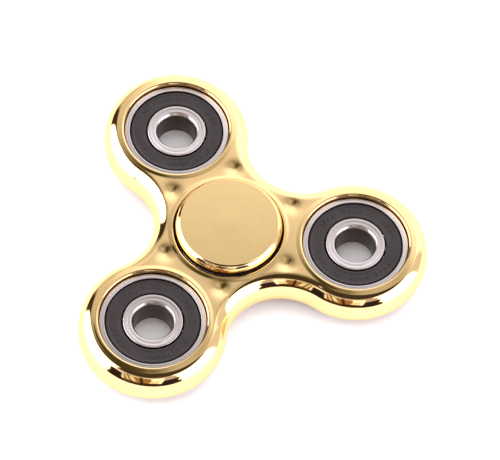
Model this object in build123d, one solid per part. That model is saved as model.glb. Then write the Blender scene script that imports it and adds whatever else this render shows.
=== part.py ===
from build123d import *
from math import cos, radians, sin, sqrt
import os

# Three-lobed fidget spinner: a polished body turns on a ball bearing held between two thumb caps,
# and each lobe carries a free-running bearing of the same standard size.
# The frame's origin is the centre of the middle bearing. +Z is the spin axis, and one lobe lies
# along +Y. All lengths are millimetres and all angles are degrees.

# Body
LOBE_DISTANCE = 26.2  # spin axis to the middle of each lobe
LOBE_RADIUS = 15.1
WAIST_RADIUS = 15.4  # spin axis to the hollow between two lobes
WEB_HALF_THICKNESS = 4.45
EDGE_ROUNDING = 4.35  # leaves a narrow upright band round the equator
LOBE_ANGLES = {"lobe_a": 90, "lobe_b": 330, "lobe_c": 210}

# Raised bead round the mouth of each bore
BEAD_HEIGHT = 4.65  # top of the bead above the middle plane
BEAD_WIDTH = 1.25
BEAD_FOOT = 4.05
BORE_ROUNDING = 0.55

# Ball bearing: 8 mm bore, 22 mm outside, 7 mm wide
BEARING_BORE_RADIUS = 4.0
BEARING_OUTER_RADIUS = 11.0
BEARING_HALF_WIDTH = 3.5
RING_CHAMFER = 0.3
BALL_COUNT = 7
BALL_RADIUS = 3.969 / 2
PITCH_RADIUS = 7.5
RACE_CLEARANCE = 0.04
GROOVE_RADIUS = 2.06
INNER_LAND_RADIUS = 6.05
OUTER_LAND_RADIUS = 8.7

# Seal seat in the outer ring, and the seal with its steel stiffener
SEAL_MOUTH_RADIUS = 9.8
SEAL_GROOVE_RADIUS = 10.05
SEAL_GROOVE_TOP = 3.05
SEAL_GROOVE_FLOOR = 2.6
SEAL_LIP_RADIUS = 6.2
SEAL_FACE = 3.4
SEAL_BACK = 2.62
SEAL_BEVEL = 0.12
SEAL_GAP = 0.05
STIFFENER_INNER_RADIUS = 6.95
STIFFENER_OUTER_RADIUS = 9.3
STIFFENER_THICKNESS = 0.3

# Pressed ribbon cage in two riveted halves
CAGE_INNER_RADIUS = 6.75
CAGE_OUTER_RADIUS = 8.25
CAGE_THICKNESS = 0.35
POCKET_CLEARANCE = 0.05
RIVET_RADIUS = 0.38
RIVET_HOLE_RADIUS = 0.4
RIVET_HEAD_RADIUS = 0.65
RIVET_HEAD_HEIGHT = 0.25
RIVET_HEAD_ROUNDING = 0.2

# Thumb caps
CAP_RADIUS = 10.95
CAP_TOP = 7.0
CAP_UNDERSIDE = 3.9
CAP_ROUNDING = 1.5
CAP_CHAMFER = 0.3
DISH_RADIUS = 8.8
DISH_DEPTH = 0.3
SPACER_RADIUS = 5.8  # touches only the inner ring
STEM_RADIUS = 3.98
PIN_RADIUS = 2.4
PIN_LENGTH = 2.5
SOCKET_RADIUS = 2.42
SOCKET_DEPTH = 2.7
CAP_RECESS_RADIUS = 11.35  # step in the body that each cap turns in


def at(radius, angle):
    """Point in the middle plane, at a radius and an angle from +X."""
    return Vector(radius * cos(radians(angle)), radius * sin(radians(angle)))


def turned(section):
    """Solid of revolution about Z from a closed line in (radius, height)."""
    return revolve(Plane.XZ * make_face(section), Axis.Z)


def tube(inner_radius, outer_radius, height):
    """Hollow cylinder centred on the middle plane."""
    return Cylinder(outer_radius, height) - Cylinder(inner_radius, height)


# ---------------------------------------------------------------- body


def body_outline():
    """Three lobe arcs joined by three hollow arcs that are tangent to them."""
    step = LOBE_RADIUS - WAIST_RADIUS
    hollow_distance = (LOBE_DISTANCE**2 - step**2) / (LOBE_DISTANCE + 2 * step)
    hollow_radius = hollow_distance - WAIST_RADIUS
    share = LOBE_RADIUS / (LOBE_RADIUS + hollow_radius)
    arcs = []
    for angle in LOBE_ANGLES.values():
        lobe = at(LOBE_DISTANCE, angle)
        before = lobe + (at(hollow_distance, angle - 60) - lobe) * share
        after = lobe + (at(hollow_distance, angle + 60) - lobe) * share
        next_lobe = at(LOBE_DISTANCE, angle + 120)
        next_before = next_lobe + (at(hollow_distance, angle + 60) - next_lobe) * share
        arcs.append(ThreePointArc(before, at(LOBE_DISTANCE + LOBE_RADIUS, angle), after))
        arcs.append(ThreePointArc(after, at(WAIST_RADIUS, angle + 60), next_before))
    return make_face(Curve() + arcs)


def bead(mouth_radius):
    """Rounded ring that stands proud of the web round one bore, as one upper half."""
    crest = mouth_radius + BORE_ROUNDING
    edge = mouth_radius + BEAD_WIDTH
    sunk = BEAD_FOOT - 1
    wall = Line((mouth_radius, sunk), (mouth_radius, BEAD_HEIGHT - BORE_ROUNDING))
    mouth = JernArc(wall @ 1, (0, 1), BORE_ROUNDING, -90)
    flank = EllipticalCenterArc((crest, BEAD_FOOT), edge - crest, BEAD_HEIGHT - BEAD_FOOT, 0, arc_size=90)
    sides = Polyline((edge, BEAD_FOOT), (edge, sunk), (mouth_radius, sunk))
    return turned(Curve() + [wall, mouth, flank, sides])


def spinner_body():
    """Body with rounded edges, four bearing seats and a bead round each mouth."""
    plate = extrude(body_outline(), WEB_HALF_THICKNESS, both=True)
    rims = plate.edges().filter_by(lambda edge: abs(edge.center().Z) > WEB_HALF_THICKNESS / 2)
    body = fillet(rims, EDGE_ROUNDING)
    seats = {name: at(LOBE_DISTANCE, angle) for name, angle in LOBE_ANGLES.items()}
    for place in seats.values():
        body -= Pos(place) * Cylinder(BEARING_OUTER_RADIUS, 4 * BEAD_HEIGHT)
    body -= Cylinder(BEARING_OUTER_RADIUS, 2 * BEARING_HALF_WIDTH)
    for side in (1, -1):
        recess = Cylinder(CAP_RECESS_RADIUS, BEAD_HEIGHT)
        body -= Pos(0, 0, side * (BEARING_HALF_WIDTH + BEAD_HEIGHT / 2)) * recess
    mouth = bead(BEARING_OUTER_RADIUS)
    beads = [Pos(place) * mouth for place in seats.values()] + [bead(CAP_RECESS_RADIUS)]
    for ring in beads:
        lifted = ring - Cylinder(CAP_RECESS_RADIUS, 4 * BEAD_HEIGHT)
        body = body + lifted + mirror(lifted, Plane.XY)
    return body


# ---------------------------------------------------------------- bearing, centred on the origin


def outer_ring():
    """Outer race with a ball groove and a snap groove for each seal."""
    half, chamfer = BEARING_HALF_WIDTH, RING_CHAMFER
    groove_bottom = PITCH_RADIUS + BALL_RADIUS + RACE_CLEARANCE
    groove_centre = groove_bottom - GROOVE_RADIUS
    groove_half = sqrt(GROOVE_RADIUS**2 - (OUTER_LAND_RADIUS - groove_centre) ** 2)
    upper = [
        (OUTER_LAND_RADIUS, groove_half),
        (OUTER_LAND_RADIUS, SEAL_GROOVE_FLOOR),
        (SEAL_GROOVE_RADIUS, SEAL_GROOVE_FLOOR),
        (SEAL_GROOVE_RADIUS, SEAL_GROOVE_TOP),
        (SEAL_MOUTH_RADIUS, SEAL_GROOVE_TOP),
        (SEAL_MOUTH_RADIUS, half),
        (BEARING_OUTER_RADIUS - chamfer, half),
        (BEARING_OUTER_RADIUS, half - chamfer),
    ]
    lower = [(radius, -height) for radius, height in reversed(upper)]
    race = ThreePointArc(lower[-1], (groove_bottom, 0), upper[0])
    return turned(Curve() + [Polyline(*upper, *lower), race])


def inner_ring():
    """Inner race: ball groove outside, chamfered bore inside."""
    half, chamfer = BEARING_HALF_WIDTH, RING_CHAMFER
    groove_bottom = PITCH_RADIUS - BALL_RADIUS - RACE_CLEARANCE
    groove_centre = groove_bottom + GROOVE_RADIUS
    groove_half = sqrt(GROOVE_RADIUS**2 - (groove_centre - INNER_LAND_RADIUS) ** 2)
    upper = [
        (INNER_LAND_RADIUS, groove_half),
        (INNER_LAND_RADIUS, half - chamfer / 2),
        (INNER_LAND_RADIUS - chamfer / 2, half),
        (BEARING_BORE_RADIUS + chamfer, half),
        (BEARING_BORE_RADIUS, half - chamfer),
    ]
    lower = [(radius, -height) for radius, height in reversed(upper)]
    race = ThreePointArc(lower[-1], (groove_bottom, 0), upper[0])
    return turned(Curve() + [Polyline(*upper, *lower), race])


def balls():
    """The seven balls, as separate solids."""
    return [Pos(place) * Sphere(BALL_RADIUS) for place in ball_places()]


def ball_places():
    """Ball centres on the pitch circle."""
    return [at(PITCH_RADIUS, i * 360 / BALL_COUNT) for i in range(BALL_COUNT)]


def rivet_places():
    """Rivet centres, halfway between the balls."""
    return [at(PITCH_RADIUS, (i + 0.5) * 360 / BALL_COUNT) for i in range(BALL_COUNT)]


def cage_half():
    """Upper half of the ribbon cage: flat between the balls and domed over them."""
    dome_radius = BALL_RADIUS + POCKET_CLEARANCE + CAGE_THICKNESS
    flat = Pos(0, 0, CAGE_THICKNESS / 2) * Cylinder(CAGE_OUTER_RADIUS, CAGE_THICKNESS)
    domes = [Pos(place) * Sphere(dome_radius) for place in ball_places()]
    above = Pos(0, 0, dome_radius / 2) * tube(CAGE_INNER_RADIUS, CAGE_OUTER_RADIUS, dome_radius)
    ribbon = (flat + domes) & above
    for place in ball_places():
        ribbon -= Pos(place) * Sphere(BALL_RADIUS + POCKET_CLEARANCE)
    for place in rivet_places():
        ribbon -= Pos(place) * Cylinder(RIVET_HOLE_RADIUS, 4 * CAGE_THICKNESS)
    return ribbon


def rivet():
    """Round-headed rivet through both halves of the cage."""
    shank = Cylinder(RIVET_RADIUS, 2 * CAGE_THICKNESS)
    blank = Cylinder(RIVET_HEAD_RADIUS, RIVET_HEAD_HEIGHT)
    head = fillet(blank.edges().group_by(Axis.Z)[-1], RIVET_HEAD_ROUNDING)
    upper = Pos(0, 0, CAGE_THICKNESS + RIVET_HEAD_HEIGHT / 2) * head
    return shank + upper + mirror(upper, Plane.XY)


def seal():
    """Upper rubber seal: snaps into the outer ring and clears the inner ring."""
    mouth = SEAL_MOUTH_RADIUS - SEAL_GAP
    snap = SEAL_GROOVE_RADIUS - SEAL_GAP
    snap_top = SEAL_GROOVE_TOP - SEAL_GAP
    pocket_roof = SEAL_BACK + STIFFENER_THICKNESS
    section = Polyline(
        (SEAL_LIP_RADIUS, pocket_roof),
        (SEAL_LIP_RADIUS, SEAL_FACE - SEAL_BEVEL),
        (SEAL_LIP_RADIUS + SEAL_BEVEL, SEAL_FACE),
        (mouth - SEAL_BEVEL, SEAL_FACE),
        (mouth, SEAL_FACE - SEAL_BEVEL),
        (mouth, snap_top),
        (snap, snap_top),
        (snap, SEAL_BACK),
        (STIFFENER_OUTER_RADIUS, SEAL_BACK),
        (STIFFENER_OUTER_RADIUS, pocket_roof),
        close=True,
    )
    return turned(section)


def stiffener():
    """Flat steel washer bonded to the back of the upper seal."""
    washer = tube(STIFFENER_INNER_RADIUS, STIFFENER_OUTER_RADIUS - SEAL_GAP, STIFFENER_THICKNESS)
    return Pos(0, 0, SEAL_BACK + STIFFENER_THICKNESS / 2) * washer


# ---------------------------------------------------------------- thumb caps


def cap_head():
    """Upper cap without pin or socket: spacer, rounded rim and finger dish."""
    blank = turned(
        Polyline(
            (0, 0),
            (STEM_RADIUS, 0),
            (STEM_RADIUS, BEARING_HALF_WIDTH),
            (SPACER_RADIUS, BEARING_HALF_WIDTH),
            (SPACER_RADIUS, CAP_UNDERSIDE),
            (CAP_RADIUS - CAP_CHAMFER, CAP_UNDERSIDE),
            (CAP_RADIUS, CAP_UNDERSIDE + CAP_CHAMFER),
            (CAP_RADIUS, CAP_TOP),
            (0, CAP_TOP),
            close=True,
        )
    )
    head = fillet(blank.edges().group_by(Axis.Z)[-1], CAP_ROUNDING)
    sphere_radius = (DISH_RADIUS**2 + DISH_DEPTH**2) / (2 * DISH_DEPTH)
    return head - Pos(0, 0, CAP_TOP - DISH_DEPTH + sphere_radius) * Sphere(sphere_radius)


def cap_top():
    """Cap with the pin that joins the pair."""
    blank = Pos(0, 0, -PIN_LENGTH / 2) * Cylinder(PIN_RADIUS, PIN_LENGTH)
    pin = chamfer(blank.edges().group_by(Axis.Z)[0], CAP_CHAMFER)
    return cap_head() + pin


def cap_bottom():
    """Cap with the socket, turned over to face down."""
    socket = Pos(0, 0, SOCKET_DEPTH / 2) * Cylinder(SOCKET_RADIUS, SOCKET_DEPTH)
    return mirror(cap_head() - socket, Plane.XY)


# ---------------------------------------------------------------- assembly


def bearing_nodes():
    """Every piece of one bearing, by name, as lists of solids."""
    half, gasket, washer = cage_half(), seal(), stiffener()
    return {
        "outer_ring": [outer_ring()],
        "inner_ring": [inner_ring()],
        "balls": balls(),
        "cage_upper": [half],
        "cage_lower": [mirror(half, Plane.XY)],
        "cage_rivets": [Pos(place) * rivet() for place in rivet_places()],
        "seal_upper": [gasket],
        "seal_lower": [mirror(gasket, Plane.XY)],
        "stiffener_upper": [washer],
        "stiffener_lower": [mirror(washer, Plane.XY)],
    }


def all_nodes():
    """Every node of the assembly in its place."""
    nodes = {"spinner_body": [spinner_body()], "cap_top": [cap_top()], "cap_bottom": [cap_bottom()]}
    places = {"centre": Vector(0, 0, 0)}
    places.update({name: at(LOBE_DISTANCE, angle) for name, angle in LOBE_ANGLES.items()})
    for piece, solids in bearing_nodes().items():
        for name, place in places.items():
            nodes[f"{name}_{piece}"] = [Pos(place) * solid for solid in solids]
    return nodes


os.makedirs("parts", exist_ok=True)
for node, shapes in all_nodes().items():
    solids = [solid for shape in shapes for solid in shape.solids()]
    export_step(solids[0] if len(solids) == 1 else Compound(solids), f"parts/{node}.step")
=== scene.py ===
"""Polished gold fidget spinner on a white table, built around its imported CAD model."""

from math import cos, pi, radians, sin

import bpy
import numpy as np
from mathutils import Matrix, Vector


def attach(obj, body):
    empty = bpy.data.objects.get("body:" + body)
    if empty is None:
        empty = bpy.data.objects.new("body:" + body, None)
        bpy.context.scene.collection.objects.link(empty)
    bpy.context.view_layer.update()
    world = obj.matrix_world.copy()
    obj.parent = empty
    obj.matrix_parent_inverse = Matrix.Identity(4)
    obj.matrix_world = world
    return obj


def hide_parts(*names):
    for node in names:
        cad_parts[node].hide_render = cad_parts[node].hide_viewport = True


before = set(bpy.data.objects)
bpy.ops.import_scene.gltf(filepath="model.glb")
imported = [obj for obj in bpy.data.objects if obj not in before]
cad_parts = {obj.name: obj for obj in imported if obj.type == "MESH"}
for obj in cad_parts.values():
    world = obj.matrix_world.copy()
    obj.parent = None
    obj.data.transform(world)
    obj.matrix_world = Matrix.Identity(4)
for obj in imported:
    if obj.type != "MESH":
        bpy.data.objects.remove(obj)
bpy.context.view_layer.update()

MM = 0.001

# ---------------------------------------------------------------- sizes, in millimetres

LOBES = {"lobe_a": 90, "lobe_b": 330, "lobe_c": 210}
BEARINGS = ["centre", *LOBES]
LOBE_DISTANCE = 26.2
LOBE_RADIUS = 15.1
WAIST_RADIUS = 15.4

BORE = 11.0  # seat of every bearing
RECESS = 11.35  # step in the body that each cap turns in
SEAT_HALF = 3.5  # half of a bearing's width
BEAD_TOP = 4.52
LOBE_MOUTH = (0.42, 1.35)  # rounding of the mouth, and width of the bead round it
CENTRE_MOUTH = (0.22, 1.3)
EDGE_ROUNDING = 4.4
EDGE_CENTRE = 0.40
WEB_HEIGHT = 4.42
WEB_SOFTNESS = 0.06
DIP = 0.10
DIP_FROM_EDGE = (2.0, 8.0)
DIP_FROM_BEAD = (-0.6, 4.0)
POCKET_AT = (14.3, 60.8)  # radius and angle of a small dent beside each lobe
POCKET_DEPTH = 0.24
POCKET_SIZE = 1.0
POCKET_FROM_EDGE = (0.5, 2.5)

BODY_GAP_RADIUS = RECESS + 0.06  # the body's faces inside it and lower than BODY_GAP_TOP are painted dark as shade
BODY_GAP_TOP = BEAD_TOP - 0.12
BODY_CREASE = 50  # angle in degrees past which an edge stays sharp
WEB_ROWS = 36
CENTRE_RAYS = 41
LOBE_RAYS = 85
WELD_SLACK = 1e-9

CAP_RADIUS = 10.95
CAP_TOP = 7.0
CAP_UNDER = 3.9
CAP_ROUNDING = 1.5
CAP_CREASE = 66  # slope angle at which the rim's rounding leaves the face
CAP_SHARP = 20  # angle in degrees past which an edge stays sharp
CROWN_RADIUS = 10.04
CROWN = 0.03  # fall of a cap's face from its middle to the rim
BUTTON = 0.010  # faint swell in the middle of a cap
BUTTON_SIZE = 1.9
CAP_STEM_RADIUS = 3.98
CAP_SPACER_RADIUS = 5.8
CAP_MIDDLE_GAP = 0.02  # from each cap's stem to the middle plane
CAP_EDGE_ROUNDING = 0.3

BALL_GROOVE = 2.06
GROOVE_INSET = 0.0355  # from the balls' circle to the middle of each ring's groove
BALL_CIRCLE = 7.5
INNER_RING_OUTSIDE = 6.05
INNER_RING_BORE = 4.0

# Faces in dark gaps and bores that are painted dark as shade, as ranges of radius and of height from
# the middle plane.
CAP_SHADE_FACES = [(6, 20, 3.6, 4.75)]
OUTER_RING_SHADE_FACES = [(0, 9.85, -1, 3.35), (10.74, 11.2, -1, 3.47)]
INNER_RING_SHADE_FACES = [(0, 4.3, -1, 3.05), (6.03, 6.2, -1, 3.2)]
SEAL_SHADE_FACES = [(0, 6.45, 0, 3.3), (9.44, 10.2, 0, 3.3)]


# ---------------------------------------------------------------- mesh tools


def polar(radius, angle):
    """Point (r cos a, r sin a) at a radius r and an angle a in degrees."""
    return np.array([radius * cos(radians(angle)), radius * sin(radians(angle))])


def mesh_object(name, points, quads, materials, smooth_angle=35, second=None, axis=(0, 0)):
    """Object from points in millimetres and quads, with points that coincide merged.

    The quads marked in second take the second material. The attribute lathe holds each point's
    distance from the upright axis at (x, y), its height and its angle's share of a half turn.
    """
    mesh = bpy.data.meshes.new(name)
    welded, index = np.unique(np.round(points, 6), axis=0, return_inverse=True)
    faces = index.reshape(-1)[quads]
    distinct = np.array([len(set(face)) for face in faces.tolist()])
    whole = faces[distinct == 4].tolist()
    tips = [list(dict.fromkeys(face)) for face in faces[distinct == 3].tolist()]
    marked = np.zeros(len(quads), bool) if second is None else second
    slots = np.concatenate([marked[distinct == 4], marked[distinct == 3]]).astype(np.int32)
    mesh.from_pydata((welded * MM).tolist(), [], whole + tips)
    mesh.polygons.foreach_set("use_smooth", np.ones(len(mesh.polygons), bool))
    mesh.set_sharp_from_angle(angle=radians(smooth_angle))
    for material in materials:
        mesh.materials.append(material)
    mesh.polygons.foreach_set("material_index", slots)
    across = welded[:, :2] - axis
    distance = np.linalg.norm(across, axis=1)
    share = np.abs(np.arctan2(across[:, 1], across[:, 0])) / pi
    lathe = mesh.attributes.new("lathe", "FLOAT_VECTOR", "POINT")
    lathe.data.foreach_set("vector", np.stack([distance, welded[:, 2], share], axis=1).ravel())
    mesh.update()
    piece = bpy.data.objects.new(name, mesh)
    bpy.context.scene.collection.objects.link(piece)
    return piece


def grid_quads(rows, columns, offset=0):
    """Quads of a grid of rows by columns points, stored row after row."""
    corner = np.arange((rows - 1) * columns).reshape(rows - 1, columns)[:, :-1] + offset
    quads = np.stack([corner, corner + 1, corner + columns + 1, corner + columns], axis=-1)
    return quads.reshape(-1, 4)


def turned(profile, segments=160):
    """Points and quads of a closed (radius, height) profile turned about Z.

    Point (r, z) at angle a becomes (r cos a, r sin a, z). The profile runs clockwise seen with the
    radius to the right and the height up, so that the faces look outwards.
    """
    profile = np.array([*profile, profile[0]])
    angle = np.linspace(0, 2 * pi, segments + 1)
    angle[-1] = 0
    x = profile[:, :1] * np.cos(angle)
    y = profile[:, :1] * np.sin(angle)
    z = np.repeat(profile[:, 1:], segments + 1, axis=1)
    points = np.stack([x, y, z], axis=-1).reshape(-1, 3)
    return points, grid_quads(len(profile), segments + 1)[:, ::-1]


def arc(centre, radius, start, end, steps):
    """Points on a circle from one angle to another, in degrees."""
    angle = np.radians(np.linspace(start, end, steps + 1))
    x = centre[0] + radius * np.cos(angle)
    y = centre[1] + radius * np.sin(angle)
    return list(zip(x, y))


def line(start, end, steps):
    """Evenly spaced points from start to end, without the end."""
    share = np.linspace(0, 1, steps, endpoint=False)[:, None]
    return [tuple(p) for p in np.array(start) + share * (np.array(end) - np.array(start))]


# ---------------------------------------------------------------- body


def hollow():
    """Centre distance and radius of the hollow arc that is tangent to two lobes."""
    step = LOBE_RADIUS - WAIST_RADIUS
    distance = (LOBE_DISTANCE**2 - step**2) / (LOBE_DISTANCE + 2 * step)
    return distance, distance - WAIST_RADIUS


def smooth_step(value, start, end):
    """0 before start, 1 after end and 3t^2 - 2t^3 between."""
    share = np.clip((value - start) / (end - start), 0, 1)
    return share * share * (3 - 2 * share)


def web_height(flat, depth):
    """Height of the upper face at points (x, y) that lie a depth inside the outline.

    A quarter round of radius EDGE_ROUNDING rises from the height EDGE_CENTRE and meets the level
    WEB_HEIGHT in a soft minimum. From there the web dips by DIP times three smooth steps, of the
    distances to the outline, to the middle bead and to the lobe's bead. A pocket is a Gaussian
    dent, POCKET_DEPTH times exp(-(d / POCKET_SIZE)^2 / 2) at a distance d from its middle, and it
    fades out by a smooth step near the outline.
    """
    inside = np.minimum(depth, EDGE_ROUNDING)
    rim = EDGE_CENTRE + np.sqrt(np.maximum(EDGE_ROUNDING**2 - (EDGE_ROUNDING - inside) ** 2, 0))
    blend = np.exp(-rim / WEB_SOFTNESS) + np.exp(-WEB_HEIGHT / WEB_SOFTNESS)
    level = -WEB_SOFTNESS * np.log(blend)
    from_centre = np.linalg.norm(flat, axis=-1) - RECESS - CENTRE_MOUTH[1]
    from_lobe = np.linalg.norm(flat - polar(LOBE_DISTANCE, 90), axis=-1) - BORE - LOBE_MOUTH[1]
    dip = smooth_step(depth, *DIP_FROM_EDGE) * smooth_step(from_centre, *DIP_FROM_BEAD)
    from_pocket = np.linalg.norm(flat - polar(*POCKET_AT), axis=-1) / POCKET_SIZE
    pocket = POCKET_DEPTH * np.exp(-0.5 * from_pocket**2) * smooth_step(depth, *POCKET_FROM_EDGE)
    return level - DIP * dip * smooth_step(from_lobe, *DIP_FROM_BEAD) - pocket


def outline_depth(points):
    """Distance from points in one sixth of the body to its outline, measured inwards."""
    lobe, (distance, radius) = polar(LOBE_DISTANCE, 90), hollow()
    centre = polar(distance, 30)
    ray = centre - lobe
    offset = points - lobe
    beyond = ray[0] * offset[..., 1] - ray[1] * offset[..., 0] > 0
    to_lobe = LOBE_RADIUS - np.linalg.norm(offset, axis=-1)
    to_hollow = np.linalg.norm(points - centre, axis=-1) - radius
    return np.where(beyond, to_lobe, to_hollow)


def web_patch(inner):
    """Grid from the beads' outer edge to the equator, along lines at right angles to the outline.

    Each line starts at a point of the inner edge and runs away from the middle of the hollow, or
    of the lobe past the point where the two arcs meet. Rows are spaced as 1 - cos, so that the
    rounded edge is cut at even angles. The first row lies on the middle plane, and the second
    straight above it at EDGE_CENTRE.
    """
    lobe, (distance, radius) = polar(LOBE_DISTANCE, 90), hollow()
    centre = polar(distance, 30)
    ray = centre - lobe
    offset = inner - lobe
    beyond = (ray[0] * offset[:, 1] - ray[1] * offset[:, 0] > -WELD_SLACK)[:, None]
    from_lobe = lobe + LOBE_RADIUS * offset / np.linalg.norm(offset, axis=1, keepdims=True)
    away = inner - centre
    from_hollow = centre + radius * away / np.linalg.norm(away, axis=1, keepdims=True)
    outer = np.where(beyond, from_lobe, from_hollow)
    share = 1 - np.cos(np.linspace(0, pi / 2, WEB_ROWS))[:, None, None]
    flat = outer + share * (inner - outer)
    depth = share[..., 0] * np.linalg.norm(inner - outer, axis=1)
    height = web_height(flat, depth)
    height[0] = EDGE_CENTRE
    patch = np.concatenate([flat, height[..., None]], axis=-1)
    equator = patch[:1] * [1, 1, 0]
    return np.concatenate([equator, patch])


def bead_patch(centre, mouth, shape, directions, below):
    """Grid from the middle plane up the bore's wall, over the mouth's rounding and the bead.

    Past the rounding the height is the web's plus a cosine step that ends at the bead's width.
    """
    rounding, width = shape
    lip = arc((rounding, BEAD_TOP - rounding), rounding, 180, 90, 8)
    out = np.linspace(rounding, width, 12)[1:]
    run = np.array([*below, *lip, *[(step, BEAD_TOP) for step in out]])
    flat = centre + (mouth + run[:, 0])[:, None, None] * directions
    edge = flat[-len(out):]
    level = web_height(edge, outline_depth(edge))
    fall = (out - rounding) / (width - rounding)
    share = 0.5 + 0.5 * np.cos(pi * fall[:, None])
    height = np.repeat(run[:, 1:], len(directions), axis=1)
    height[-len(out):] = level + (BEAD_TOP - level) * share
    return np.concatenate([flat, height[..., None]], axis=-1)


def spinner_body(materials):
    """Body from one sixth of its upper half, repeated by mirroring and turning."""
    lobe = polar(LOBE_DISTANCE, 90)
    round_centre = np.radians(np.linspace(30, 90, CENTRE_RAYS))
    round_lobe = np.radians(np.linspace(-90, 90, LOBE_RAYS))
    centre_rays = np.stack([np.cos(round_centre), np.sin(round_centre)], axis=1)
    lobe_rays = np.stack([np.cos(round_lobe), np.sin(round_lobe)], axis=1)
    centre_edge = (RECESS + CENTRE_MOUTH[1]) * centre_rays
    lobe_edge = lobe + (BORE + LOBE_MOUTH[1]) * lobe_rays
    between = np.array(line(centre_edge[-1], lobe_edge[0], 7))[1:]
    step_below = [(BORE - RECESS, 0), (BORE - RECESS, SEAT_HALF), (0, SEAT_HALF)]
    wall_below = [(0, 0), (0, SEAT_HALF)]
    patches = [
        web_patch(np.concatenate([centre_edge, between, lobe_edge])),
        bead_patch(np.zeros(2), RECESS, CENTRE_MOUTH, centre_rays, step_below)[:, ::-1],
        bead_patch(lobe, BORE, LOBE_MOUTH, lobe_rays, wall_below)[:, ::-1],
    ]
    points, quads = [], []
    for patch in patches:
        patch[..., 0][np.abs(patch[..., 0]) < WELD_SLACK] = 0
        for turn in (0, 120, 240):
            spin = np.array([[cos(radians(turn)), sin(radians(turn)), 0],
                             [-sin(radians(turn)), cos(radians(turn)), 0], [0, 0, 1]])
            for side in (1, -1):
                for face in (1, -1):
                    placed = (patch * [side, 1, face]) @ spin
                    cells = grid_quads(*patch.shape[:2], offset=sum(map(len, points)))
                    quads.append(cells if side * face > 0 else cells[:, ::-1])
                    points.append(placed.reshape(-1, 3))
    points, quads = np.concatenate(points), np.concatenate(quads)
    # Faces in the recess round each bore take gap_shadow, painted shade.
    middle = points[quads].mean(axis=1)
    shaded = np.linalg.norm(middle[:, :2], axis=1) < BODY_GAP_RADIUS
    shaded &= np.abs(middle[:, 2]) < BODY_GAP_TOP
    return mesh_object("body_shell", points, quads, materials, BODY_CREASE, shaded)


# ---------------------------------------------------------------- caps and bearings


def cap_profile():
    """Upper cap's closed section, clockwise: face, rounded rim, skirt, underside, spacer, stem.

    The face falls as CROWN times (r / CROWN_RADIUS)^2, with a Gaussian swell BUTTON in its middle.
    """
    radius = np.linspace(0, CROWN_RADIUS, 40)
    swell = BUTTON * np.exp(-0.5 * (radius / BUTTON_SIZE) ** 2)
    face = list(zip(radius, CAP_TOP - BUTTON - CROWN * (radius / CROWN_RADIUS) ** 2 + swell))
    drop = CAP_ROUNDING * sin(radians(CAP_CREASE))
    rim_centre = (CAP_RADIUS - CAP_ROUNDING, face[-1][1] - 0.02 - drop)
    rim = arc(rim_centre, CAP_ROUNDING, CAP_CREASE, 0, 16)
    low = CAP_UNDER + CAP_EDGE_ROUNDING
    skirt = line((CAP_RADIUS, rim_centre[1] - 0.05), (CAP_RADIUS, low), 3)
    edge = arc((CAP_RADIUS - CAP_EDGE_ROUNDING, low), CAP_EDGE_ROUNDING, 0, -90, 5)
    inside = [(CAP_SPACER_RADIUS, CAP_UNDER), (CAP_SPACER_RADIUS, SEAT_HALF)]
    inside += [(CAP_STEM_RADIUS, SEAT_HALF), (CAP_STEM_RADIUS, CAP_MIDDLE_GAP)]
    inside += [(0, CAP_MIDDLE_GAP)]
    return face + rim + skirt + edge + inside


def outer_ring_profile():
    """Outer ring's closed section: seal lip, ground face, two fine steps, chamfer, ball groove."""
    half = SEAT_HALF
    upper = [(9.8, 3.0), (9.8, half - 0.1), *arc((9.9, half - 0.1), 0.1, 180, 90, 4)]
    upper += [*line((9.95, half), (10.28, half), 3), (10.30, half - 0.03), (10.36, half - 0.03)]
    upper += line((10.38, half), (10.56, half), 3)
    upper += arc((10.58, half - 0.42), 0.42, 84, 8, 8)
    lower = [(r, -z) for r, z in reversed(upper)]
    back = [(10.05, -3.0), (10.05, -2.6), (8.7, -2.6)]
    groove = arc((BALL_CIRCLE - GROOVE_INSET, 0), BALL_GROOVE, -53.1, 53.1, 12)
    front = [(8.7, 2.6), (10.05, 2.6), (10.05, 3.0)]
    return upper + lower + back + groove + front


def inner_ring_profile():
    """Inner ring's closed section: ground face with a fine groove, chamfered bore, ball groove."""
    half = SEAT_HALF
    edge, bore_edge = INNER_RING_OUTSIDE, INNER_RING_BORE
    outside = [(edge, 1.427), *line((edge, 1.5), (edge, half - 0.15), 3)]
    outside += arc((5.9, half - 0.15), 0.15, 0, 90, 4)
    bore = [*line((5.85, half), (5.3, half), 3), (5.26, half - 0.05), (5.14, half - 0.05)]
    bore += [*line((5.1, half), (4.62, half), 3), *arc((4.58, half - 0.3), 0.3, 96, 135, 4)]
    bore += [(4.04, half - 0.6), (bore_edge, half - 0.68)]
    bore += line((bore_edge, half - 0.7), (bore_edge, 0), 4)
    upper = outside + bore
    lower = [(r, -z) for r, z in reversed(upper)]
    groove = arc((BALL_CIRCLE + GROOVE_INSET, 0), BALL_GROOVE, 223.8, 136.2, 12)
    return (upper + lower + groove)[::-1]


def seal_profile():
    """Upper seal's closed section: shallow pressed ring between two raised rims."""
    lip = [(6.4, 2.92), (6.4, 3.2), *arc((6.52, 3.24), 0.12, 180, 90, 4)]
    inner_rim = [(6.6, 3.37), (6.8, 3.38), (6.92, 3.36), (7.0, 3.31), (7.08, 3.29)]
    field = line((7.16, 3.285), (8.9, 3.285), 6)
    outer_rim = [(8.9, 3.285), (8.98, 3.295), (9.06, 3.34), (9.16, 3.36), (9.34, 3.36)]
    edge = [*arc((9.36, 3.26), 0.1, 90, 0, 4), (9.46, 3.0), (10.0, 2.98), (10.0, 2.62)]
    return lip + inner_rim + field + outer_rim + edge + [(9.3, 2.62), (9.3, 2.92)]


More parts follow.
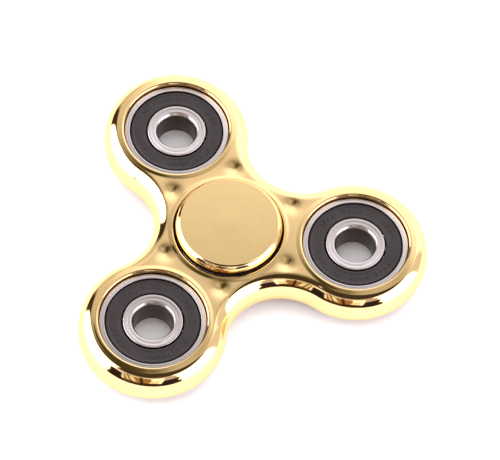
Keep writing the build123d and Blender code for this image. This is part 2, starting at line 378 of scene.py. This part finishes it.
# Moulded marks of a seal: angle of the middle, half width in degrees, inner and outer radius.
MARKS = [(angle, width, 7.55, 8.45) for angle, width in
         ((58, 1.2), (64, 1.2), (72, 2.6), (80, 1.2), (90, 3.4), (100, 1.2), (108, 2.6), (116, 1.2),
          (122, 1.2), (238, 1.2), (246, 2.6), (254, 1.2), (262, 1.2), (270, 3.4), (278, 1.2),
          (286, 1.2), (294, 2.6), (302, 1.2))]
MARKS += [(angle, 1.7, 7.85, 8.15) for angle in (0, 10, -10, 170, 180, 190)]
MARK_FOOT = 3.27
MARK_HEIGHT = 0.19


def seal_marks():
    """Points and quads of the raised marks on the upper seal.

    Each mark is a closed pad on a grid of (u, v) from -1 to 1: u runs round the ring, v across it,
    and the height over its foot is MARK_HEIGHT times (1 - u^6)(1 - v^6).
    """
    cells = 6
    u, v = np.meshgrid(*[np.linspace(-1, 1, cells + 1)] * 2, indexing="ij")
    rise = MARK_HEIGHT * (1 - u**6) * (1 - v**6)
    table = np.array(MARKS)[:, :, None, None]
    angle = np.radians(table[:, 0] + u * table[:, 1])
    radius = 0.5 * (table[:, 2] + table[:, 3]) + 0.5 * v * (table[:, 3] - table[:, 2])
    points, quads = [], []
    for height, order in ((rise, 1), (0 * rise, -1)):
        level = np.broadcast_to(MARK_FOOT + height, angle.shape)
        pads = np.stack([radius * np.cos(angle), radius * np.sin(angle), level], axis=-1)
        first = len(points) * pads[..., 0].size
        each = grid_quads(cells + 1, cells + 1)[:, ::order]
        starts = first + np.arange(len(MARKS))[:, None, None] * u.size
        quads.append((starts + each).reshape(-1, 4))
        points.append(pads.reshape(-1, 3))
    return np.concatenate(points), np.concatenate(quads)


def place_turned(name, profile, centre, flip, materials, shade_ranges, smooth_angle=35, extra=None):
    """Turned piece at a bearing, turned over if flip is -1, with extra points and quads if given.

    Quads whose middle (radius, height) lies in one of these ranges take the second material, which
    paints shade on them.
    """
    points, quads = turned(profile)
    if extra is not None:
        quads = np.concatenate([quads, extra[1] + len(points)])
        points = np.concatenate([points, extra[0]])
    middle = points[quads].mean(axis=1)
    radius, height = np.hypot(middle[:, 0], middle[:, 1]), np.abs(middle[:, 2])
    second = np.zeros(len(quads), bool)
    # Faces in these ranges are painted dark as shade.
    for low_radius, high_radius, low, high in shade_ranges:
        inside = (radius > low_radius) & (radius < high_radius)
        second |= inside & (height > low) & (height < high)
    points = points * [1, 1, flip] + [centre[0], centre[1], 0]
    quads = quads if flip > 0 else quads[:, ::-1]
    return mesh_object(name, points, quads, materials, smooth_angle, second, centre)


def centre_of(bearing):
    """Centre (x, y) of a bearing, in millimetres."""
    return polar(LOBE_DISTANCE, LOBES[bearing]) if bearing in LOBES else np.zeros(2)


# ---------------------------------------------------------------- materials


def new_material(name):
    """Empty node material with a Principled shader and its output."""
    material = bpy.data.materials.new(name)
    material.use_nodes = True
    nodes = material.node_tree.nodes
    nodes.clear()
    shader = nodes.new("ShaderNodeBsdfPrincipled")
    output = nodes.new("ShaderNodeOutputMaterial")
    material.node_tree.links.new(shader.outputs["BSDF"], output.inputs["Surface"])
    return material, material.node_tree, shader


def add_node(nodes, kind, **settings):
    """New node of a kind, with its settings applied."""
    node = nodes.new(kind)
    for key, value in settings.items():
        setattr(node, key, value)
    return node


def new_group(name, inputs, outputs):
    """Empty node group with float inputs and outputs, and a vector input first."""
    group = bpy.data.node_groups.new(name, "ShaderNodeTree")
    group.interface.new_socket("Vector", in_out="INPUT", socket_type="NodeSocketVector")
    for label in inputs:
        group.interface.new_socket(label, in_out="INPUT", socket_type="NodeSocketFloat")
    for label in outputs:
        group.interface.new_socket(label, in_out="OUTPUT", socket_type="NodeSocketFloat")
    return group, group.nodes.new("NodeGroupInput"), group.nodes.new("NodeGroupOutput")


def polish_group():
    """Node group of polished plating: soft handling smudges, orange peel and fine specks.

    Smudge and Peel are soft noise, each at its own scale. Speck is a Voronoi cell's round middle,
    in the cells whose random colour is bright enough.
    """
    group, inputs, outputs = new_group("polish", ["Smudge Scale", "Peel Scale", "Speck Scale"],
                                       ["Smudge", "Peel", "Speck"])
    nodes, links = group.nodes, group.links
    smudge = add_node(nodes, "ShaderNodeTexNoise")
    smudge.inputs["Detail"].default_value = 4
    smudge.inputs["Roughness"].default_value = 0.6
    peel = add_node(nodes, "ShaderNodeTexNoise")
    peel.inputs["Detail"].default_value = 2
    speck = add_node(nodes, "ShaderNodeTexVoronoi", feature="F1")
    near = add_node(nodes, "ShaderNodeMapRange", interpolation_type="SMOOTHSTEP")
    near.inputs["From Min"].default_value = 0.16
    near.inputs["From Max"].default_value = 0.08
    links.new(speck.outputs["Distance"], near.inputs["Value"])
    rare = add_node(nodes, "ShaderNodeMath", operation="GREATER_THAN")
    rare.inputs[1].default_value = 0.72
    links.new(speck.outputs["Color"], rare.inputs[0])
    both = add_node(nodes, "ShaderNodeMath", operation="MULTIPLY")
    links.new(near.outputs["Result"], both.inputs[0])
    links.new(rare.outputs[0], both.inputs[1])
    for node, scale in ((smudge, "Smudge Scale"), (peel, "Peel Scale"), (speck, "Speck Scale")):
        links.new(inputs.outputs["Vector"], node.inputs["Vector"])
        links.new(inputs.outputs[scale], node.inputs["Scale"])
    links.new(smudge.outputs["Fac"], outputs.inputs["Smudge"])
    links.new(peel.outputs["Fac"], outputs.inputs["Peel"])
    links.new(both.outputs[0], outputs.inputs["Speck"])
    return group


BANDS_PER_MM = 2.2


def turning_group():
    """Node group of lathe marks: noise of radius plus height alone, so rings run round the axis.

    Lines is the fine pattern, and Bands a coarser one that varies a little round the ring.
    """
    group, inputs, outputs = new_group("turning", ["Lines per mm"], ["Lines", "Bands"])
    nodes, links = group.nodes, group.links
    split = add_node(nodes, "ShaderNodeSeparateXYZ")
    links.new(inputs.outputs["Vector"], split.inputs[0])
    run = add_node(nodes, "ShaderNodeMath", operation="ADD")
    links.new(split.outputs["X"], run.inputs[0])
    links.new(split.outputs["Y"], run.inputs[1])
    lines = add_node(nodes, "ShaderNodeTexNoise", noise_dimensions="1D")
    lines.inputs["Detail"].default_value = 3
    links.new(run.outputs[0], lines.inputs["W"])
    links.new(inputs.outputs["Lines per mm"], lines.inputs["Scale"])
    bands = add_node(nodes, "ShaderNodeTexNoise", noise_dimensions="3D")
    bands.inputs["Scale"].default_value = BANDS_PER_MM
    bands.inputs["Detail"].default_value = 2
    links.new(inputs.outputs["Vector"], bands.inputs["Vector"])
    links.new(lines.outputs["Fac"], outputs.inputs["Lines"])
    links.new(bands.outputs["Fac"], outputs.inputs["Bands"])
    return group


def grain_group():
    """Node group of moulded or rolled grain: Grain is fine noise and Patches broad noise."""
    group, inputs, outputs = new_group("grain", ["Grain Scale", "Patch Scale"],
                                       ["Grain", "Patches"])
    for label, scale, detail in (("Grain", "Grain Scale", 3), ("Patches", "Patch Scale", 2)):
        noise = add_node(group.nodes, "ShaderNodeTexNoise")
        noise.inputs["Detail"].default_value = detail
        group.links.new(inputs.outputs["Vector"], noise.inputs["Vector"])
        group.links.new(inputs.outputs[scale], noise.inputs["Scale"])
        group.links.new(noise.outputs["Fac"], outputs.inputs[label])
    return group


POLISH, TURNING, GRAIN = polish_group(), turning_group(), grain_group()
LATHE_MARK_DEPTH = 0.004
SPECK_GOLD = (0.55, 0.36, 0.14)
PALE_BOUNCE = (1.0, 0.90, 0.88)


def effect(tree, group, source, values):
    """Group node fed by object coordinates or by the lathe attribute, with its values set."""
    node = add_node(tree.nodes, "ShaderNodeGroup", node_tree=group)
    for label, value in values.items():
        node.inputs[label].default_value = value
    if source == "lathe":
        place = add_node(tree.nodes, "ShaderNodeAttribute", attribute_name="lathe")
        tree.links.new(place.outputs["Vector"], node.inputs["Vector"])
    else:
        place = add_node(tree.nodes, "ShaderNodeTexCoord")
        tree.links.new(place.outputs["Object"], node.inputs["Vector"])
    return node


def ranged(tree, value, low, high, start=0.3, end=0.7):
    """Value taken from start..end, by default the usual spread of noise, to low..high."""
    node = add_node(tree.nodes, "ShaderNodeMapRange")
    for label, number in (("From Min", start), ("From Max", end), ("To Min", low), ("To Max", high)):
        node.inputs[label].default_value = number
    tree.links.new(value, node.inputs["Value"])
    return node.outputs["Result"]


def blended(tree, factor, first, second):
    """Colour between two colours by a factor; the first may be another node's output."""
    node = add_node(tree.nodes, "ShaderNodeMix", data_type="RGBA")
    tree.links.new(factor, node.inputs["Factor"])
    a, b = [slot for slot in node.inputs if slot.type == "RGBA"]
    if isinstance(first, tuple):
        a.default_value = (*first, 1)
    else:
        tree.links.new(first, a)
    b.default_value = (*second, 1)
    return [out for out in node.outputs if out.type == "RGBA"][0]


def bumped(tree, shader, height, distance):
    """Bump of a height, from 0 to 1 over a distance in millimetres, on the shader's normal."""
    node = add_node(tree.nodes, "ShaderNodeBump")
    node.inputs["Strength"].default_value = 1
    node.inputs["Distance"].default_value = distance * MM
    tree.links.new(height, node.inputs["Height"])
    tree.links.new(node.outputs["Normal"], shader.inputs["Normal"])


def wire_finish(tree, shader, tone, gloss, height, distance):
    """Feeds a shader's colour and roughness, and a bump on its normal."""
    tree.links.new(tone, shader.inputs["Base Color"])
    tree.links.new(gloss, shader.inputs["Roughness"])
    bumped(tree, shader, height, distance)


def gold(name, colour, worn, roughness, peel, edge_tint):
    """Mirror-bright gold plating: smudges shift its tone and gloss, over orange peel and specks.

    The light that it throws on the table is paler than the plating itself.
    """
    material, tree, shader = new_material(name)
    shader.inputs["Metallic"].default_value = 1
    shader.inputs["Specular Tint"].default_value = (*edge_tint, 1)
    polish = effect(tree, POLISH, "object",
                    {"Smudge Scale": 260, "Peel Scale": 420, "Speck Scale": 1500})
    smudge = polish.outputs["Smudge"]
    tone = blended(tree, ranged(tree, smudge, 0.0, 1.0), colour, worn)
    specks = ranged(tree, polish.outputs["Speck"], 0, 0.35, 0, 1)
    tone = blended(tree, specks, tone, SPECK_GOLD)
    bounce = add_node(tree.nodes, "ShaderNodeLightPath").outputs["Is Diffuse Ray"]
    tone = blended(tree, bounce, tone, PALE_BOUNCE)
    gloss = ranged(tree, smudge, 0.75 * roughness, 1.5 * roughness)
    wire_finish(tree, shader, tone, gloss, polish.outputs["Peel"], peel)
    return material


def steel(name, colour, stained, roughness, lines):
    """Turned steel: rings of lathe marks in tone, gloss and height."""
    material, tree, shader = new_material(name)
    shader.inputs["Metallic"].default_value = 1
    turning = effect(tree, TURNING, "lathe", {"Lines per mm": lines})
    tone = blended(tree, ranged(tree, turning.outputs["Bands"], 0, 1), colour, stained)
    lines_height = turning.outputs["Lines"]
    gloss = ranged(tree, lines_height, 0.7 * roughness, 1.4 * roughness)
    wire_finish(tree, shader, tone, gloss, lines_height, LATHE_MARK_DEPTH)
    return material


def grained(name, colour, faded, roughness, grain, patches, depth, metallic=0.0):
    """Grained finish: broad patches shift the tone, and fine grain the gloss and the height."""
    material, tree, shader = new_material(name)
    shader.inputs["Metallic"].default_value = metallic
    texture = effect(tree, GRAIN, "object", {"Grain Scale": grain, "Patch Scale": patches})
    tone = blended(tree, ranged(tree, texture.outputs["Patches"], 0, 1), colour, faded)
    gloss = ranged(tree, texture.outputs["Grain"], 0.85 * roughness, 1.2 * roughness)
    wire_finish(tree, shader, tone, gloss, texture.outputs["Grain"], depth)
    return material


body_gold = gold("body_gold", (1.0, 0.73, 0.36), (0.97, 0.69, 0.34), 0.05, 0.0016,
                 (1.0, 0.90, 0.70))
cap_gold = gold("cap_gold", (1.0, 0.74, 0.36), (0.97, 0.71, 0.35), 0.09, 0.0018,
                (0.50, 0.30, 0.12))
ring_steel = steel("ring_steel", (0.80, 0.74, 0.77), (0.71, 0.655, 0.69), 0.26, 9)
# Dark steel is painted shade, for the rings' faces in gaps and bores and the outer ring's chamfer.
shade_painted_steel = steel("shade_painted_steel", (0.080, 0.056, 0.048), (0.042, 0.032, 0.030), 0.34, 6)
seal_rubber = grained("seal_rubber", (0.018, 0.0130, 0.0150), (0.025, 0.0185, 0.021), 0.40,
                      5200, 300, 0.012)
gap_shadow = grained("gap_shadow", (0.006, 0.0045, 0.003), (0.010, 0.007, 0.005), 0.8,
                     3000, 300, 0.01)
cage_steel = grained("cage_steel", (0.50, 0.49, 0.50), (0.42, 0.41, 0.42), 0.35,
                     2600, 500, 0.006, 1.0)
ball_steel = grained("ball_steel", (0.80, 0.80, 0.82), (0.74, 0.74, 0.76), 0.07,
                     900, 300, 0.001, 1.0)

# ---------------------------------------------------------------- pieces

shell = spinner_body([body_gold, gap_shadow])
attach(shell, "spinner")
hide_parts("spinner_body")

for side, node in ((1, "cap_top"), (-1, "cap_bottom")):
    cap = place_turned(f"{node}_finish", cap_profile(), np.zeros(2), side, [cap_gold, gap_shadow],
                       CAP_SHADE_FACES, CAP_SHARP)
    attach(cap, "hub")
    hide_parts(node)

# CAD nodes that stay, with their materials.
KEPT_NODES = {"cage_upper": cage_steel, "cage_lower": cage_steel, "cage_rivets": cage_steel,
              "stiffener_upper": cage_steel, "stiffener_lower": cage_steel, "balls": ball_steel}

for bearing in BEARINGS:
    centre = centre_of(bearing)
    outer = place_turned(f"{bearing}_outer_finish", outer_ring_profile(), centre, 1,
                         [ring_steel, shade_painted_steel], OUTER_RING_SHADE_FACES)
    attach(outer, "spinner")
    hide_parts(f"{bearing}_outer_ring")
    inner = place_turned(f"{bearing}_inner_finish", inner_ring_profile(), centre, 1,
                         [ring_steel, shade_painted_steel], INNER_RING_SHADE_FACES)
    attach(inner, f"{bearing}_inner" if bearing in LOBES else "hub")
    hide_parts(f"{bearing}_inner_ring")
    for side, end in ((1, "upper"), (-1, "lower")):
        seal = place_turned(f"{bearing}_seal_{end}_finish", seal_profile(), centre, side,
                            [seal_rubber, gap_shadow], SEAL_SHADE_FACES, extra=seal_marks())
        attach(seal, "spinner")
        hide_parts(f"{bearing}_seal_{end}")
    for piece, metal in KEPT_NODES.items():
        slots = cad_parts[f"{bearing}_{piece}"].data.materials
        slots.clear()
        slots.append(metal)

# ---------------------------------------------------------------- table, light and camera

CAMERA_AZIMUTH = -29.21
CAMERA_ELEVATION = 60.01
CAMERA_ROLL = 5.29
CAMERA_DISTANCE = 621.2
CAMERA_TARGET = (4.13, -1.61, 3.5)
CAMERA_LENS = 217.8
CAMERA_SENSOR = 36
CAMERA_CLIP_END = 20  # metres

TABLE_HEIGHT = -CAP_TOP
TABLE_HALF = 900

OVERHEAD_ELEVATION = 85
OVERHEAD_DISTANCE = 900
OVERHEAD_SIDE = 900
OVERHEAD_POWER = 8.6  # watts


def table_top():
    """Wide pale table."""
    corners = TABLE_HALF * np.array([(-1.0, -1.0), (1.0, -1.0), (1.0, 1.0), (-1.0, 1.0)])
    points = np.concatenate([corners, np.full((4, 1), TABLE_HEIGHT)], axis=1)
    material = grained("table_white", (0.9, 0.877, 0.880), (0.894, 0.872, 0.875), 0.9,
                       800, 12, 0.01)
    table = mesh_object("table_top", points, np.array([[0, 1, 2, 3]]), [material])


def direction(azimuth, elevation):
    """Unit vector from the object, with azimuth 0 towards -Y and growing towards +X."""
    a, e = radians(azimuth), radians(elevation)
    return Vector((sin(a) * cos(e), -cos(a) * cos(e), sin(e)))


def softbox(name, azimuth, elevation, distance, side, power):
    """Square light that faces the object and stays out of its reflections."""
    light = bpy.data.lights.new(name, "AREA")
    light.shape = "SQUARE"
    light.size = side * MM
    light.energy = power
    lamp = bpy.data.objects.new(name, light)
    towards = direction(azimuth, elevation)
    lamp.location = towards * distance * MM
    lamp.rotation_euler = towards.to_track_quat("Z", "Y").to_euler()
    lamp.visible_glossy = False
    bpy.context.scene.collection.objects.link(lamp)


def panel_group():
    """Node group: 1 inside a soft-edged window of azimuth and elevation, in degrees, 0 outside.

    Lean is added to the azimuth for each degree of elevation, which slants the upright edges.
    """
    group = bpy.data.node_groups.new("panel_window", "ShaderNodeTree")
    for name in ("Azimuth", "Elevation", "Left", "Right", "Low", "High", "Softness", "Lean"):
        group.interface.new_socket(name, in_out="INPUT", socket_type="NodeSocketFloat")
    group.interface.new_socket("Mask", in_out="OUTPUT", socket_type="NodeSocketFloat")
    nodes, links = group.nodes, group.links
    inputs, outputs = nodes.new("NodeGroupInput"), nodes.new("NodeGroupOutput")
    leaning = add_node(nodes, "ShaderNodeMath", operation="MULTIPLY_ADD")
    for slot, label in zip(leaning.inputs, ("Elevation", "Lean", "Azimuth")):
        links.new(inputs.outputs[label], slot)
    across, upwards = leaning.outputs[0], inputs.outputs["Elevation"]
    mask = None
    for angle, limit, sign in ((across, "Left", 1), (across, "Right", -1),
                               (upwards, "Low", 1), (upwards, "High", -1)):
        inside = add_node(nodes, "ShaderNodeMath", operation="SUBTRACT")
        links.new(angle if sign > 0 else inputs.outputs[limit], inside.inputs[0])
        links.new(inputs.outputs[limit] if sign > 0 else angle, inside.inputs[1])
        share = add_node(nodes, "ShaderNodeMath", operation="DIVIDE")
        links.new(inside.outputs[0], share.inputs[0])
        links.new(inputs.outputs["Softness"], share.inputs[1])
        step = add_node(nodes, "ShaderNodeMapRange", interpolation_type="SMOOTHSTEP")
        step.inputs["From Min"].default_value = -0.5
        step.inputs["From Max"].default_value = 0.5
        links.new(share.outputs[0], step.inputs["Value"])
        if mask is None:
            mask = step.outputs["Result"]
            continue
        both = add_node(nodes, "ShaderNodeMath", operation="MULTIPLY")
        links.new(mask, both.inputs[0])
        links.new(step.outputs["Result"], both.inputs[1])
        mask = both.outputs[0]
    links.new(mask, outputs.inputs["Mask"])
    return group


# Windows of the studio, seen from the object: azimuth 0 is the camera's side and grows to the
# camera's right. Left, right, low, high, softness, lean in degrees to the left for each degree up,
# then brightness in red, green and blue.
STUDIO = {
    "low_backdrop": (-400, 400, -60, 34, 22, 0, (1.80, 1.74, 1.78)),
    "back_left_dim": (-166, -130, -5, 95, 22, 0, (0.74, 0.70, 0.64)),
    "ceiling": (-400, 400, 59.4, 140, 24, 0, (0.30, 0.27, 0.22)),
    "left_gap": (-139, -118, -5, 64, 9, 0, (0.05, 0.035, 0.02)),
    "right_gap": (95, 119, -5, 62, 8, 0, (0.85, 0.80, 0.80)),
    "high_left": (-140, -40, 57, 82, 5, 0, (0.06, 0.045, 0.03)),
    "ceiling_right": (95, 168, 64, 100, 20, 0, (0.62, 0.58, 0.52)),
    "high_back_left": (-168, -60, 68, 100, 12, 0, (0.06, 0.055, 0.02)),
    "zenith": (-400, 400, 80, 140, 10, 0, (0.13, 0.115, 0.06)),
    "camera_side": (-75, 100, 44, 90, 12, 0, (0.060, 0.044, 0.030)),
    "left_softbox": (-120, -44, -5, 58, 2.5, 0.12, (3.3, 3.2, 3.2)),
    "right_softbox": (36, 96, -5, 46, 2.5, 0, (3.3, 3.2, 3.2)),
    "low_camera_side": (-52, 42, -5, 14, 3, 0, (0.055, 0.040, 0.028)),
    "left_dark": (-48, -30, -5, 38, 2.5, 0.15, (0.025, 0.018, 0.015)),
    "right_dark": (12, 34, -5, 30, 2.5, -0.30, (0.03, 0.02, 0.025)),
    "warm_wall": (-27, 12, 13, 41, 3, 0.2, (0.40, 0.21, 0.09)),
    "pink_wall": (15, 33, 30, 43, 3, -0.2, (0.60, 0.50, 0.52)),
    "window_left": (-19, -7, 18, 38, 2, 0.35, (0.98, 0.95, 0.75)),
    "window_right": (-3, 9, 17, 31, 2, -0.25, (1.02, 0.98, 0.80)),
    "window_bar": (-16, -13.5, 14, 43, 1.2, 0.35, (0.05, 0.03, 0.02)),
    "door_frame": (-7.5, -3.5, 12, 43, 1.5, 0.1, (0.05, 0.03, 0.02)),
    "doorway": (-9, 14, 9, 16, 2, 0, (0.03, 0.02, 0.015)),
}
BACKDROP = (1.45, 1.40, 1.40)


def surroundings():
    """Pale studio world, with the windows of STUDIO laid over one another in their order."""
    world = bpy.data.worlds.new("studio")
    world.use_nodes = True
    nodes, links = world.node_tree.nodes, world.node_tree.links
    split = nodes.new("ShaderNodeSeparateXYZ")
    links.new(nodes.new("ShaderNodeTexCoord").outputs["Generated"], split.inputs[0])

    def angle(operation, *values):
        node = nodes.new("ShaderNodeMath")
        node.operation = operation
        for slot, value in zip(node.inputs, values):
            if isinstance(value, (int, float)):
                slot.default_value = value
            else:
                links.new(value, slot)
        return node.outputs[0]

    sideways = angle("ARCTAN2", split.outputs["X"], angle("MULTIPLY", split.outputs["Y"], -1.0))
    relative = angle("SUBTRACT", angle("DEGREES", sideways), CAMERA_AZIMUTH)
    azimuth = angle("WRAP", relative, 180.0, -180.0)
    elevation = angle("DEGREES", angle("ARCSINE", split.outputs["Z"]))
    group = panel_group()
    colour = BACKDROP
    for name, (*limits, light) in STUDIO.items():
        window = add_node(nodes, "ShaderNodeGroup", name=name, node_tree=group)
        links.new(azimuth, window.inputs["Azimuth"])
        links.new(elevation, window.inputs["Elevation"])
        for slot, value in zip(("Left", "Right", "Low", "High", "Softness", "Lean"), limits):
            window.inputs[slot].default_value = value
        colour = blended(world.node_tree, window.outputs["Mask"], colour, light)
    links.new(colour, nodes["Background"].inputs["Color"])
    bpy.context.scene.world = world


def camera():
    """Long lens looking down at the spinner, slightly rolled."""
    back = direction(CAMERA_AZIMUTH, CAMERA_ELEVATION)
    right = (-back).cross(Vector((0, 0, 1))).normalized()
    up = right.cross(-back)
    roll = radians(CAMERA_ROLL)
    across = right * cos(roll) + up * sin(roll)
    upright = up * cos(roll) - right * sin(roll)
    data = bpy.data.cameras.new("camera")
    data.lens = CAMERA_LENS
    data.sensor_width = CAMERA_SENSOR
    data.clip_end = CAMERA_CLIP_END
    eye = bpy.data.objects.new("camera", data)
    turn = Matrix((across, upright, back)).transposed().to_4x4()
    place = Matrix.Translation((Vector(CAMERA_TARGET) + back * CAMERA_DISTANCE) * MM)
    eye.matrix_world = place @ turn
    bpy.context.scene.collection.objects.link(eye)
    bpy.context.scene.camera = eye


table_top()
surroundings()
softbox("overhead", CAMERA_AZIMUTH, OVERHEAD_ELEVATION, OVERHEAD_DISTANCE, OVERHEAD_SIDE,
        OVERHEAD_POWER)
camera()
bpy.context.scene.view_settings.view_transform = "Standard"
